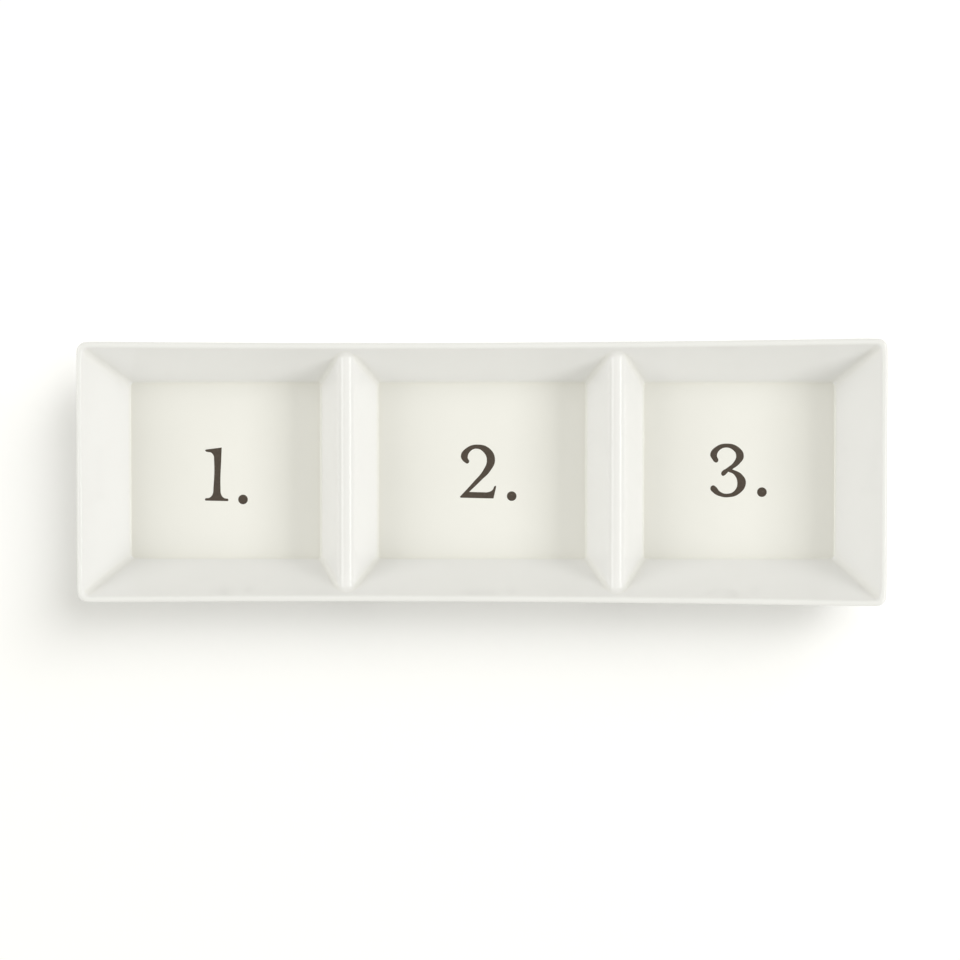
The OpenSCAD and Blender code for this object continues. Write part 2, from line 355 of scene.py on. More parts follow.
def crest_lines(wall):
    """Places of the lines along the two crests, and how far each rises over the shoulders."""
    lean = wall.form.divider_lean
    turns = [lean + (pi / 2 - lean) * i / CREST_STEPS for i in range(CREST_STEPS + 1)]
    halves = [(wall.round_radius * cos(turn),
               wall.round_z + wall.round_radius * sin(turn) - wall.shoulder_z) for turn in turns]
    across = halves + [(-out, rise) for out, rise in halves[:-1]]
    return [(side * wall.form.crest_x + out, rise) for side in (-1, 1) for out, rise in across]


def press_wells(wall, name):
    """The wall as flats: a plane whose wells are pressed down out of it, up to the shoulders."""
    shoulder = wall.shoulder_z
    half_length, half_depth = wall.length(shoulder), wall.depth(shoulder)
    obj = start_plane(-half_length, half_length, half_depth, shoulder)
    obj.name = obj.data.name = name
    crests = crest_lines(wall)
    cut(AXIS_X, [x for x, _ in crests])

    gap, floor_gap = wall.half_gap(shoulder), wall.half_gap(wall.flat_z)
    end = wall.length(wall.flat_z)
    side_move = wall.depth(wall.flat_z) - half_depth
    crest = wall.form.crest_x
    # Each well's left and right edge at the shoulders and at the floor
    wells = [((-half_length, -end), (-crest - gap, -crest - floor_gap)),
             ((gap - crest, floor_gap - crest), (crest - gap, crest - floor_gap)),
             ((crest + gap, crest + floor_gap), (half_length, end))]
    for edges in wells:
        left, right = edges[0][0], edges[1][0]
        pick("FACE", lambda face: left < face.calc_center_median().x < right)
        bpy.ops.mesh.extrude_region_move(
            TRANSFORM_OT_translate={"value": (0, 0, wall.flat_z - shoulder)})
        for side in (1, -1):
            shift(lambda vert: near(vert.co.z, wall.flat_z) and left - MM < vert.co.x < right + MM
                  and near(vert.co.y, side * half_depth), (0, side * side_move, 0))
        for high, low in edges:
            shift(lambda vert: near(vert.co.z, wall.flat_z) and near(vert.co.x, high),
                  (low - high, 0, 0))
    return obj, crests


def raise_crests(wall, crests):
    """Rounds the crests: each line along them goes up, and its ends stay on the long walls."""
    shoulder = wall.shoulder_z
    half_depth = wall.depth(shoulder)
    for x, rise in crests:
        if near(rise, 0):
            continue
        for side in (1, -1):
            shift(lambda vert: near(vert.co.x, x) and near(vert.co.z, shoulder)
                  and near(vert.co.y, side * half_depth), (0, side * rise * tan(wall.side[1]), rise))


def grow_ring(z, end_move, side_move, rise):
    """Extrudes the open edge up to a height and moves its ends and sides outwards."""
    if not pick("EDGE", lambda edge: edge.is_boundary):
        raise RuntimeError("the wall has no open edge to go on from")
    mesh = bmesh.from_edit_mesh(bpy.context.object.data)
    chosen = [vert for vert in mesh.verts if vert.select]
    far = [max(abs(vert.co[axis]) for vert in chosen) for axis in (0, 1)]
    bpy.ops.mesh.extrude_region_move(TRANSFORM_OT_translate={"value": (0, 0, rise)})
    for axis, amount in ((0, end_move), (1, side_move)):
        for side in (1, -1):
            step = [0, 0, 0]
            step[axis] = side * amount
            shift(lambda vert: near(vert.co.z, z) and vert.is_boundary
                  and near(vert.co[axis], side * far[axis]), step)


def part_flats(form, wall, high_cut):
    """Cuts the flats so that the long sides can bow and the rounded edges keep to themselves."""
    cut(AXIS_Z, [wall.flat_z + share * (wall.shoulder_z - wall.flat_z) for share in WALL_CUTS])
    cut(AXIS_Z, [high_cut])
    cut(AXIS_Y, [share * form.side_foot for share in DEPTH_CUTS])
    floor_gap = form.sizes.divider_width / 2
    middle = (form.crest_x + floor_gap + form.end_foot) / 2
    half = (form.end_foot - form.crest_x - floor_gap) / 2
    middle_half = form.crest_x - floor_gap
    cut(AXIS_X, [side * middle + share * half for side in (-1, 1) for share in LENGTH_CUTS])
    cut(AXIS_X, [share * middle_half for share in LENGTH_CUTS])


def fold_dish(form, skin, name):
    """The whole skin of the dish, closed: inside, rim, outside and hollows, with rounded edges."""
    inner, outer = form.inside(skin), form.outside(skin)
    lip = form.lip_radius - skin
    side_lean, outer_lean = inner.side[1], outer.side[1]

    inside, crests = press_wells(inner, name)
    first_turn = pi - side_lean
    top = form.lip_z + lip * sin(first_turn)
    shoulder = inner.shoulder_z
    grow_ring(top, form.lip_length + lip * cos(first_turn) - inner.length(shoulder),
              form.lip_depth + lip * cos(first_turn) - inner.depth(shoulder), top - shoulder)
    raise_crests(inner, crests)
    part_flats(form, inner, (inner.round_z + inner.round_radius + top) / 2)
    turns = [first_turn + (pi / 2 - first_turn) * i / LIP_STEPS for i in range(LIP_STEPS + 1)]
    turns += [pi / 2 + (-outer_lean - pi / 2) * i / (LIP_STEPS + 1) for i in range(1, LIP_STEPS + 2)]
    for before, turn in zip(turns, turns[1:]):
        out = lip * (cos(turn) - cos(before))
        rise = lip * (sin(turn) - sin(before))
        grow_ring(form.lip_z + lip * sin(turn), out, out, rise)

    outside, roofs = press_wells(outer, name + "_outside")
    shoulder = outer.shoulder_z
    top = form.lip_z - lip - JOINING_BAND
    grow_ring(top, outer.length(top) - outer.length(shoulder),
              outer.depth(top) - outer.depth(shoulder), top - shoulder)
    raise_crests(outer, roofs)
    part_flats(form, outer, (outer.round_z + outer.round_radius + top) / 2)

    join(inside, [outside])
    bpy.ops.object.mode_set(mode="EDIT")
    pick("EDGE", lambda edge: edge.is_boundary)
    bpy.ops.mesh.bridge_edge_loops()
    close_up()
    round_edges(form, inside, inner, outer)
    swell_sides(form, inside)
    flatten_normals(inside)
    return inside


def edge_reach(form, edge, inner, outer):
    """How far the rounding of an edge reaches on each side of it, or nothing on a flat."""
    a, b = (vert.co for vert in edge.verts)
    middle = (a + b) / 2
    x, y, z = abs(middle.x), abs(middle.y), middle.z
    lip_corner = z > form.crest_z and all(
        near(abs(end.x) - abs(end.y), form.lip_length - form.lip_depth, MITRE_SLACK) for end in (a, b))
    if edge.calc_face_angle(0) < SHARP_TURN and not lip_corner:
        return 0
    is_inside = (z > inner.flat_z - MM and y < (inner.depth(z) + outer.depth(z)) / 2
                 and x < (inner.length(z) + outer.length(z)) / 2)
    wall = inner if is_inside else outer
    if near(a.z, wall.flat_z) and near(b.z, wall.flat_z):
        if near(a.y, b.y):
            return wall.edge_cut(wall.side[1])
        return wall.edge_cut(wall.end[1] if wall.is_at_end(x) else form.divider_lean)
    if lip_corner:
        return form.sizes.rim_corner - form.lip_radius + x - form.lip_length
    return wall.corner_cut(x)


def round_edges(form, obj, inner, outer):
    """Rounds every edge by its own radius with one bevel, and smooths the whole surface."""
    mesh = bmesh.new()
    mesh.from_mesh(obj.data)
    weight = mesh.edges.layers.float.new("bevel_weight_edge")
    reaches = [edge_reach(form, edge, inner, outer) for edge in mesh.edges]
    widest = max(reaches)
    for edge, reach in zip(mesh.edges, reaches):
        edge[weight] = reach / widest
    mesh.to_mesh(obj.data)
    mesh.free()
    make_only(obj)
    bevel = obj.modifiers.new("Rounded edges", "BEVEL")
    bevel.limit_method = "WEIGHT"
    bevel.width = widest
    bevel.segments = EDGE_STEPS
    bevel.use_clamp_overlap = False
    smooth = obj.modifiers.new("Smooth surface", "SUBSURF")
    smooth.levels = smooth.render_levels = 1
    bpy.ops.object.modifier_apply(modifier=bevel.name)
    bpy.ops.object.modifier_apply(modifier=smooth.name)
    bpy.ops.object.shade_smooth()


def swell_sides(form, obj):
    """Bows and flares the long sides, as far as they do at each place and height."""
    for vert in obj.data.vertices:
        if abs(vert.co.y) > MM:
            vert.co.y += form.swell(vert.co.x, vert.co.z) * (1 if vert.co.y > 0 else -1)


def flatten_normals(obj):
    """Keeps the shading of the flats flat up to their rounded edges."""
    make_only(obj)
    weighted = obj.modifiers.new("Weighted normals", "WEIGHTED_NORMAL")
    bpy.ops.object.modifier_apply(modifier=weighted.name)


# Depth of the glaze, and painted shade where it pools in the hollows

# The depth goes from 0 where glaze has drawn thin to 1 where it has pooled, and is this between.
# Its darker pooled end also paints shade into the corners and creases
EVEN_DEPTH = 0.5
# Radius of a bend that glaze has clearly run into or off
GLAZE_FLOW = 2.5 * MM
# How much more of it has settled on a level floor, and how quickly that ends on a slope
GLAZE_SETTLED = 0.35
SLOPE_POWER = 8
# Steps from point to point by which the depth evens out
GLAZE_SPREAD = 1


def mark_pooling_and_shade(form, obj):
    """Stores how thick the glaze has run at each point: thick in hollows and on the floors of
    the wells, thin over edges. Where it is thick in hollows and corners, its darker colour is
    also painted shade."""
    mesh = bmesh.new()
    mesh.from_mesh(obj.data)
    depths = []
    for vert in mesh.verts:
        # Along an edge this is half the surface's curvature, more than 0 in a hollow
        bends = [(edge.other_vert(vert).co - vert.co).dot(vert.normal) / edge.calc_length() ** 2
                 for edge in vert.link_edges]
        # Thick glaze in a hollow is real pooling, and its darker colour there is also painted shade
        run_in_and_shade = EVEN_DEPTH * tanh(2 * GLAZE_FLOW * sum(bends) / len(bends))
        on_floor = vert.co.z < form.floor_z + MM
        settled = GLAZE_SETTLED * max(0, vert.normal.z) ** SLOPE_POWER if on_floor else 0
        depths.append(min(1, EVEN_DEPTH + run_in_and_shade + settled))
    for _ in range(GLAZE_SPREAD):
        depths = [(depths[vert.index]
                   + sum(depths[edge.other_vert(vert).index] for edge in vert.link_edges))
                  / (1 + len(vert.link_edges)) for vert in mesh.verts]
    mesh.free()
    layer = obj.data.attributes.new("glaze_depth_and_shade", "FLOAT", "POINT")
    layer.data.foreach_set("value", depths)


# Foot rings

# How far a ring reaches up into the clay
RING_SINK = 0.1 * MM
# Steps round a ring's corners and along its lower edges
RING_CORNER_STEPS = 4
RING_EDGE_STEPS = 3
# The lower edges' rounding is this share of the inner corners', so that it ends short of them
RING_EDGE_SHARE = 0.9


def foot_ring(form, left, right, depth, top):
    """One foot ring: an outline with round corners, inset to a band and given its height."""
    s = form.sizes
    obj = start_plane(left, right, depth, 0)
    bpy.ops.mesh.select_all(action="SELECT")
    bpy.ops.mesh.inset(thickness=s.foot_width)
    bpy.ops.mesh.delete(type="FACE")
    bpy.ops.mesh.select_all(action="SELECT")
    bpy.ops.mesh.extrude_region_move(TRANSFORM_OT_translate={"value": (0, 0, top)})
    outer_corner = max(s.foot_chamfer, s.base_corner - s.base_radius - s.foot_inset)
    for out, radius in ((0, outer_corner), (s.foot_width, s.foot_chamfer)):
        pick("EDGE", lambda edge: not near(edge.verts[0].co.z, edge.verts[1].co.z)
             and near(abs(edge.verts[0].co.y), depth - out))
        bpy.ops.mesh.bevel(offset=radius, segments=RING_CORNER_STEPS, affect="EDGES")
    pick("EDGE", lambda edge: near(edge.verts[0].co.z, 0) and near(edge.verts[1].co.z, 0)
         and edge.calc_face_angle(0) > SHARP_TURN)
    bpy.ops.mesh.bevel(offset=RING_EDGE_SHARE * s.foot_chamfer, segments=RING_EDGE_STEPS, affect="EDGES")
    close_up()
    return obj


def foot_rings(form):
    """A foot ring below each well, set in from the outer wall's flats."""
    s = form.sizes
    outer = form.outside(0)
    flat = s.foot_height
    end = outer.length(flat) - outer.edge_cut(outer.end[1]) - s.foot_inset
    side = outer.depth(flat) - outer.edge_cut(outer.side[1]) - s.foot_inset
    gap = outer.half_gap(flat) + outer.edge_cut(form.divider_lean) + s.foot_inset
    crest = form.crest_x
    places = ((-end, -crest - gap), (gap - crest, crest - gap), (crest + gap, end))
    return [foot_ring(form, left, right, side, flat + s.glaze_thickness + RING_SINK)
            for left, right in places]


def finish_piece(obj, name, material, nodes=()):
    """Names a piece, gives it its material and ties it to the frame."""
    make_only(obj)
    bpy.ops.object.transform_apply(location=True, rotation=True, scale=True)
    obj.name = obj.data.name = name
    obj.data.materials.clear()
    obj.data.materials.append(material)
    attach(obj, "root")
    for node in nodes:
        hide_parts(node)


# Printed numbers

# Each outline is in shares of the number's height, going round it, and a point is smooth unless
# it is marked as a corner
CORNER = "corner"
ONE = [
    (-0.232, 0.925), (-0.238, 0.945, CORNER), (-0.215, 0.957, CORNER),
    (0.070, 1.000, CORNER), (0.066, 0.800), (0.062, 0.250), (0.078, 0.120), (0.130, 0.060),
    (0.205, 0.044, CORNER), (0.214, 0.020), (0.205, 0.000, CORNER),
    (-0.215, 0.000, CORNER), (-0.224, 0.020), (-0.215, 0.044, CORNER),
    (-0.135, 0.060), (-0.085, 0.120), (-0.070, 0.250), (-0.068, 0.760), (-0.082, 0.850),
    (-0.130, 0.900), (-0.200, 0.912),
]
TWO = [
    (0.000, 0.020, CORNER), (0.012, 0.000, CORNER), (0.625, 0.000, CORNER),
    (0.655, 0.140), (0.672, 0.225, CORNER), (0.655, 0.238), (0.636, 0.226, CORNER),
    (0.600, 0.155), (0.520, 0.116), (0.420, 0.112), (0.170, 0.112, CORNER),
    (0.385, 0.330), (0.560, 0.520), (0.638, 0.720), (0.545, 0.920), (0.310, 1.000),
    (0.085, 0.920), (0.000, 0.780), (0.040, 0.690), (0.110, 0.640, CORNER), (0.135, 0.645),
    (0.158, 0.680), (0.128, 0.750), (0.165, 0.860), (0.290, 0.922), (0.430, 0.850),
    (0.486, 0.710), (0.420, 0.520), (0.250, 0.305),
]
THREE = [
    (0.098, 0.648), (0.128, 0.652), (0.150, 0.690), (0.124, 0.775), (0.168, 0.872), (0.290, 0.926),
    (0.425, 0.878), (0.482, 0.775), (0.425, 0.640), (0.310, 0.545), (0.212, 0.470),
    (0.208, 0.422), (0.240, 0.398), (0.285, 0.424), (0.335, 0.476, CORNER), (0.440, 0.425),
    (0.505, 0.265), (0.450, 0.120), (0.310, 0.066), (0.185, 0.105), (0.110, 0.190),
    (0.052, 0.222), (0.004, 0.170), (0.062, 0.080), (0.190, 0.016), (0.340, 0.000),
    (0.535, 0.062), (0.664, 0.265), (0.590, 0.425), (0.410, 0.522, CORNER), (0.540, 0.620),
    (0.624, 0.770), (0.530, 0.930), (0.305, 1.000), (0.095, 0.935), (0.000, 0.800), (0.038, 0.708),
]
# Each number's name, its outline, where the outline's zero lies on the dish in millimetres, its
# stop's place in the same shares, and whether it is tilted
NUMBERS = [
    ("first", ONE, (-127.4, -14.7), (0.488, 0.038), True),
    ("second", TWO, (-10.6, -13.1), (0.965, 0.052), True),
    ("third", THREE, (109.3, -12.8), (0.963, 0.096), False),
]
# Steps between two points of an outline
OUTLINE_STEPS = 10


def outline_curve(points, height):
    """A flat filled curve through an outline's points."""
    curve = bpy.data.curves.new("outline", "CURVE")
    curve.dimensions = "2D"
    curve.fill_mode = "BOTH"
    curve.resolution_u = OUTLINE_STEPS
    spline = curve.splines.new("BEZIER")
    spline.bezier_points.add(len(points) - 1)
    spline.use_cyclic_u = True
    for knot, (x, y, *mark) in zip(spline.bezier_points, points):
        knot.co = (x * height, y * height, 0)
        knot.handle_left_type = knot.handle_right_type = "VECTOR" if mark else "AUTO"
    obj = bpy.data.objects.new("outline", curve)
    bpy.context.collection.objects.link(obj)
    return obj


def printed_number(form, number, points, place, stop, tilted):
    """One number and its full stop, as a thin layer of ink on the floor of its well."""
    start_object()
    digit = outline_curve(points, number.height)
    bpy.ops.curve.primitive_bezier_circle_add(radius=number.stop_width / 2)
    dot = bpy.context.object
    dot.data.dimensions = "2D"
    dot.data.fill_mode = "BOTH"
    dot.location = (stop[0] * number.height, stop[1] * number.height, 0)
    for obj in (digit, dot):
        obj.data.extrude = number.ink_thickness
    make_only(digit)
    dot.select_set(True)
    bpy.ops.object.convert(target="MESH")
    bpy.ops.object.join()
    obj = bpy.context.object
    bpy.ops.object.transform_apply(location=True, rotation=True, scale=True)
    if tilted:
        obj.rotation_euler.z = -number.tilt
    obj.location = (place[0] * MM, place[1] * MM, form.floor_z)
    bpy.ops.object.transform_apply(location=True, rotation=True, scale=True)
    bpy.ops.object.mode_set(mode="EDIT")
    bpy.ops.mesh.select_all(action="SELECT")
    bpy.ops.mesh.remove_doubles(threshold=SAME_PLACE)
    close_up()
    bpy.ops.object.shade_smooth_by_angle(angle=SHARP_TURN)
    return obj


# Materials

# Places of the colour sockets of a Mix node
MIX_A, MIX_B, MIX_RESULT = 6, 7, 2
# Settings by which one colour is multiplied by another
MULTIPLY = {"data_type": "RGBA", "blend_type": "MULTIPLY"}
# Where most of a noise's values lie, to spread them over a range of another value
NOISE_RANGE = {"From Min": 0.3, "From Max": 0.7}
# Sizes of the patches in the glaze: its clouds of tint, its slow swell, the places where it is
# glossier, and its fine orange peel
GLAZE_CLOUDS = 45 * MM
GLAZE_SWELL = 28 * MM
GLAZE_POLISH = 20 * MM
GLAZE_PEEL = 4 * MM
# Heights of the swell, the orange peel and the clay's grit
SWELL_HEIGHT = 0.08 * MM
PEEL_HEIGHT = 0.004 * MM
GRIT_HEIGHT = 0.05 * MM
# The clay's grit is really about 0.2 mm, drawn at twice that so that it shows
GRIT_SIZE = 0.4 * MM
# Distance between the clay's iron specks, and how one fades from its middle, in shares of that
SPECK_DISTANCE = 2.5 * MM
SPECK_EDGE = {"From Min": 0.10, "From Max": 0.16, "To Min": 1.0, "To Max": 0.0}
# Screen-printed ink varies over about this distance
INK_MOTTLE = 1.5 * MM
# Detail of the noises: the grit and the ink's mottling are finer than the glaze's patches
GRIT_DETAIL = 4
MOTTLE_DETAIL = 3
PLAIN_DETAIL = 2


def add_node(tree, kind, inputs=None, links=None, **settings):
    """Adds a node, with its settings, the values of its inputs, and links into them."""
    node = tree.nodes.new(kind)
    for name, value in settings.items():
        setattr(node, name, value)
    for name, value in (inputs or {}).items():
        node.inputs[name].default_value = value
    for name, source in (links or {}).items():
        tree.links.new(source, node.inputs[name])
    return node


def new_material(name):
    """A material with an empty node tree, and that tree."""
    material = bpy.data.materials.new(name)
    material.use_nodes = True
    material.node_tree.nodes.clear()
    return material, material.node_tree


def glazed_stoneware(colours):
    """Glossy off-white glaze on stoneware: an even white with soft, wide reflections. It has run
    a little thicker and creamier into the corners, where that darker colour is also painted
    shade, and drawn thin over the edges, and its surface keeps the faint swell of poured glaze."""
    material, tree = new_material("white glazed stoneware")
    place = add_node(tree, "ShaderNodeTexCoord").outputs["Object"]
    depth = add_node(tree, "ShaderNodeAttribute", attribute_name="glaze_depth_and_shade",
                     attribute_type="GEOMETRY")
    # From thin glaze over the edges to pooled glaze in the hollows; the darker pooled end is also painted
    # shade in the corners
    ramp = add_node(tree, "ShaderNodeValToRGB", links={"Fac": depth.outputs["Fac"]})
    ramp.color_ramp.elements[0].color = (*colours.thin_glaze, 1)
    ramp.color_ramp.elements[1].color = (*colours.pooled_glaze_and_shade, 1)
    ramp.color_ramp.elements.new(EVEN_DEPTH).color = (*colours.glaze, 1)
    clouds, swell, polish, peel = (
        add_node(tree, "ShaderNodeTexNoise", {"Scale": 1 / size, "Detail": PLAIN_DETAIL}, {"Vector": place})
        for size in (GLAZE_CLOUDS, GLAZE_SWELL, GLAZE_POLISH, GLAZE_PEEL))
    shade = add_node(tree, "ShaderNodeMapRange", {**NOISE_RANGE, "To Min": 0.985, "To Max": 1.0},
                     {"Value": clouds.outputs["Fac"]})
    tinted = add_node(tree, "ShaderNodeMix", {"Factor": 1.0},
                      {MIX_A: ramp.outputs["Color"], MIX_B: shade.outputs["Result"]}, **MULTIPLY)
    roughness = add_node(tree, "ShaderNodeMapRange", {**NOISE_RANGE, "To Min": 0.08, "To Max": 0.12},
                         {"Value": polish.outputs["Fac"]})
    rolling = add_node(tree, "ShaderNodeBump", {"Strength": 1, "Distance": SWELL_HEIGHT},
                       {"Height": swell.outputs["Fac"]})
    relief = add_node(tree, "ShaderNodeBump", {"Strength": 1, "Distance": PEEL_HEIGHT},
                      {"Height": peel.outputs["Fac"], "Normal": rolling.outputs["Normal"]})
    shader = add_node(tree, "ShaderNodeBsdfPrincipled", {"IOR": 1.55},
                      {"Base Color": tinted.outputs[MIX_RESULT], "Roughness": roughness.outputs["Result"],
                       "Normal": relief.outputs["Normal"]})
    add_node(tree, "ShaderNodeOutputMaterial", links={"Surface": shader.outputs["BSDF"]})
    return material


def bare_stoneware(colours):
    """Bare fired stoneware: dry and sandy to the eye, with fine grit and a few iron specks."""
    material, tree = new_material("bare stoneware")
    place = add_node(tree, "ShaderNodeTexCoord").outputs["Object"]
    grit = add_node(tree, "ShaderNodeTexNoise", {"Scale": 1 / GRIT_SIZE, "Detail": GRIT_DETAIL},
                    {"Vector": place})
    specks = add_node(tree, "ShaderNodeTexVoronoi", {"Scale": 1 / SPECK_DISTANCE}, {"Vector": place})
    dots = add_node(tree, "ShaderNodeMapRange", SPECK_EDGE, {"Value": specks.outputs["Distance"]})
    shade = add_node(tree, "ShaderNodeMapRange", {**NOISE_RANGE, "To Min": 0.9, "To Max": 1.05},
                     {"Value": grit.outputs["Fac"]})
    sand = add_node(tree, "ShaderNodeMix", {"Factor": 1.0, MIX_A: (*colours.clay, 1)},
                    {MIX_B: shade.outputs["Result"]}, **MULTIPLY)
    speckled = add_node(tree, "ShaderNodeMix", {MIX_B: (*colours.clay_speck, 1)},
                        {"Factor": dots.outputs["Result"], MIX_A: sand.outputs[MIX_RESULT]},
                        data_type="RGBA")
    roughness = add_node(tree, "ShaderNodeMapRange", {**NOISE_RANGE, "To Min": 0.75, "To Max": 0.95},
                         {"Value": grit.outputs["Fac"]})
    relief = add_node(tree, "ShaderNodeBump", {"Strength": 1, "Distance": GRIT_HEIGHT},
                      {"Height": grit.outputs["Fac"]})
    shader = add_node(tree, "ShaderNodeBsdfPrincipled", {"IOR": 1.5},
                      {"Base Color": speckled.outputs[MIX_RESULT], "Roughness": roughness.outputs["Result"],
                       "Normal": relief.outputs["Normal"]})
    add_node(tree, "ShaderNodeOutputMaterial", links={"Surface": shader.outputs["BSDF"]})
    return material


def ceramic_ink(colours):
    """Ceramic ink fired into the glaze: a warm grey-brown, a little uneven in its depth, with the
    gloss of the glaze round it."""
    material, tree = new_material("fired ceramic ink")
    place = add_node(tree, "ShaderNodeTexCoord").outputs["Object"]
    mottle = add_node(tree, "ShaderNodeTexNoise", {"Scale": 1 / INK_MOTTLE, "Detail": MOTTLE_DETAIL},
                      {"Vector": place})
    shade = add_node(tree, "ShaderNodeMapRange", {**NOISE_RANGE, "To Min": 0.88, "To Max": 1.08},
                     {"Value": mottle.outputs["Fac"]})
    tinted = add_node(tree, "ShaderNodeMix", {"Factor": 1.0, MIX_A: (*colours.ink, 1)},
                      {MIX_B: shade.outputs["Result"]}, **MULTIPLY)
    roughness = add_node(tree, "ShaderNodeMapRange", {**NOISE_RANGE, "To Min": 0.18, "To Max": 0.28},
                         {"Value": mottle.outputs["Fac"]})
    swell = add_node(tree, "ShaderNodeTexNoise", {"Scale": 1 / GLAZE_SWELL, "Detail": PLAIN_DETAIL},
                     {"Vector": place})
    relief = add_node(tree, "ShaderNodeBump", {"Strength": 1, "Distance": SWELL_HEIGHT},
                      {"Height": swell.outputs["Fac"]})
    shader = add_node(tree, "ShaderNodeBsdfPrincipled", {"IOR": 1.5},
                      {"Base Color": tinted.outputs[MIX_RESULT], "Roughness": roughness.outputs["Result"],
                       "Normal": relief.outputs["Normal"]})
    add_node(tree, "ShaderNodeOutputMaterial", links={"Surface": shader.outputs["BSDF"]})
    return material


# The stage

# Radius of the floor and the sides of its outline, its hair's breadth below the foot rings, and
# how much lighter it is seen
FLOOR_RADIUS = 4
FLOOR_SIDES = 96
FLOOR_GAP = 0.05 * MM
FLOOR_LIFT = 0.14
# Light from the underside passes through the floor if it starts within this distance
CLEAR_WITHIN = 4 * MM
# Lamps: name, azimuth from +X towards +Y and elevation in degrees, width and height in metres,
# power in watts. Two long soft lamps light the dish from its ends, the stronger one from the
# right, so that the dividers shade the floors beside them. One more lights the floor alone, from
# the back right, so that the shadow falls to the front and the left.
LAMP_DISTANCE = 10
DISH_LAMPS = [
    ("right_lamp", -4, 38, 12.0, 3.5, 465),
    ("left_lamp", 170, 40, 9.0, 5.0, 303),
]
FLOOR_LAMP = ("floor_lamp", 41, 48, 6.0, 9.6, 696)
# The point just below the rim's plane that the camera looks at, where it hangs from above, and the
# width of its sensor, all in millimetres
LOOK_AT = (-0.5, -3.6, 36)
CAMERA_OVER = (20, 39)
SENSOR_WIDTH = 36
# How far the camera sees in metres, well past the edge of the floor
CAMERA_REACH = 50


def studio_floor(colour):
    """A plain pale floor. The camera sees it a little lighter than it is, so that it fades into
    the white round it and keeps the dish's shadow. It is clear from below, and lets light through
    where the dish stands on it, so that the foot rings can be looked at."""
    material, tree = new_material("pale studio floor")
    path = add_node(tree, "ShaderNodeLightPath")
    seen = path.outputs["Is Camera Ray"]
    for ray in ("Is Glossy Ray", "Is Transmission Ray"):
        seen = add_node(tree, "ShaderNodeMath", links={0: seen, 1: path.outputs[ray]},
                        operation="MAXIMUM").outputs[0]
    strength = add_node(tree, "ShaderNodeMath", {1: FLOOR_LIFT}, {0: seen}, operation="MULTIPLY")
    paint = add_node(tree, "ShaderNodeBsdfDiffuse", {"Color": (*colour, 1)})
    glow = add_node(tree, "ShaderNodeEmission", links={"Strength": strength.outputs[0]})
    both = add_node(tree, "ShaderNodeAddShader", links={0: paint.outputs[0], 1: glow.outputs[0]})
    clear = add_node(tree, "ShaderNodeBsdfTransparent")
    below = add_node(tree, "ShaderNodeNewGeometry")
    close = add_node(tree, "ShaderNodeMath", {1: CLEAR_WITHIN}, {0: path.outputs["Ray Length"]},
                     operation="LESS_THAN")
    is_clear = add_node(tree, "ShaderNodeMath", operation="MAXIMUM",
                        links={0: below.outputs["Backfacing"], 1: close.outputs[0]})
    sided = add_node(tree, "ShaderNodeMixShader",
                     links={0: is_clear.outputs[0], 1: both.outputs[0], 2: clear.outputs[0]})
    add_node(tree, "ShaderNodeOutputMaterial", links={"Surface": sided.outputs[0]})
    return material


def lay_floor(colour):
    """The floor, a wide disc below the foot rings."""
    start_object()
    bpy.ops.mesh.primitive_circle_add(vertices=FLOOR_SIDES, radius=FLOOR_RADIUS, fill_type="NGON",
                                      location=(0, 0, -FLOOR_GAP))
    floor = bpy.context.object
    floor.name = floor.data.name = "studio_floor"
    floor.data.materials.append(studio_floor(colour))
    return floor


def hang_lamp(level, name, azimuth, elevation, width, height, power):
    """A soft lamp that faces the dish."""
    turn, lift = radians(azimuth), radians(elevation)
    out = Vector((cos(lift) * cos(turn), cos(lift) * sin(turn), sin(lift)))
    bpy.ops.object.light_add(type="AREA", location=out * LAMP_DISTANCE)
    lamp = bpy.context.object
    lamp.name = lamp.data.name = name
    lamp.rotation_euler = out.to_track_quat("Z", "Y").to_euler()
    lamp.data.shape = "RECTANGLE"
    lamp.data.size = width
    lamp.data.size_y = height
    lamp.data.energy = power * level
    lamp.visible_camera = False
    return lamp


def link_light(lamp, floor, state):
    """A lamp lights the floor alone, or everything but the floor. All pieces still cast shadows."""
    receivers = bpy.data.collections.new(lamp.name + "_receivers")
    receivers.objects.link(floor)
    receivers.collection_objects[0].light_linking.link_state = state
    lamp.light_linking.receiver_collection = receivers


def light_sky(colour, strength):
    """Even light from all round. The camera sees it as plain white."""
    world = bpy.data.worlds.new("even white sky")
    bpy.context.scene.world = world
    world.use_nodes = True
    tree = world.node_tree
    tree.nodes.clear()
    path = add_node(tree, "ShaderNodeLightPath")
    seen = add_node(tree, "ShaderNodeMath", operation="MAXIMUM",
                    links={0: path.outputs["Is Camera Ray"], 1: path.outputs["Is Transmission Ray"]})
    light = add_node(tree, "ShaderNodeBackground", {"Strength": strength, "Color": (*colour, 1)})
    white = add_node(tree, "ShaderNodeBackground", {"Strength": 1})
    both = add_node(tree, "ShaderNodeMixShader",
                    links={0: seen.outputs[0], 1: light.outputs[0], 2: white.outputs[0]})
    add_node(tree, "ShaderNodeOutputWorld", links={"Surface": both.outputs[0]})


def aim_camera(studio):
    """The camera looks almost straight down on the dish, with the back of it at the top."""
    target = Vector(LOOK_AT) * MM
    place = Vector((CAMERA_OVER[0] * MM, CAMERA_OVER[1] * MM, studio.camera_height))
    bpy.ops.object.camera_add(location=place)
    camera = bpy.context.object
    camera.name = camera.data.name = "photo_camera"
    back = (place - target).normalized()
    right = AXIS_Y.cross(back).normalized()
    up = back.cross(right)
    turn = Matrix((right, up, back)).transposed()
    camera.rotation_euler = turn.to_euler()
    camera.data.sensor_width = SENSOR_WIDTH
    camera.data.lens = studio.lens
    camera.data.clip_end = CAMERA_REACH
    bpy.context.scene.camera = camera


# Operators

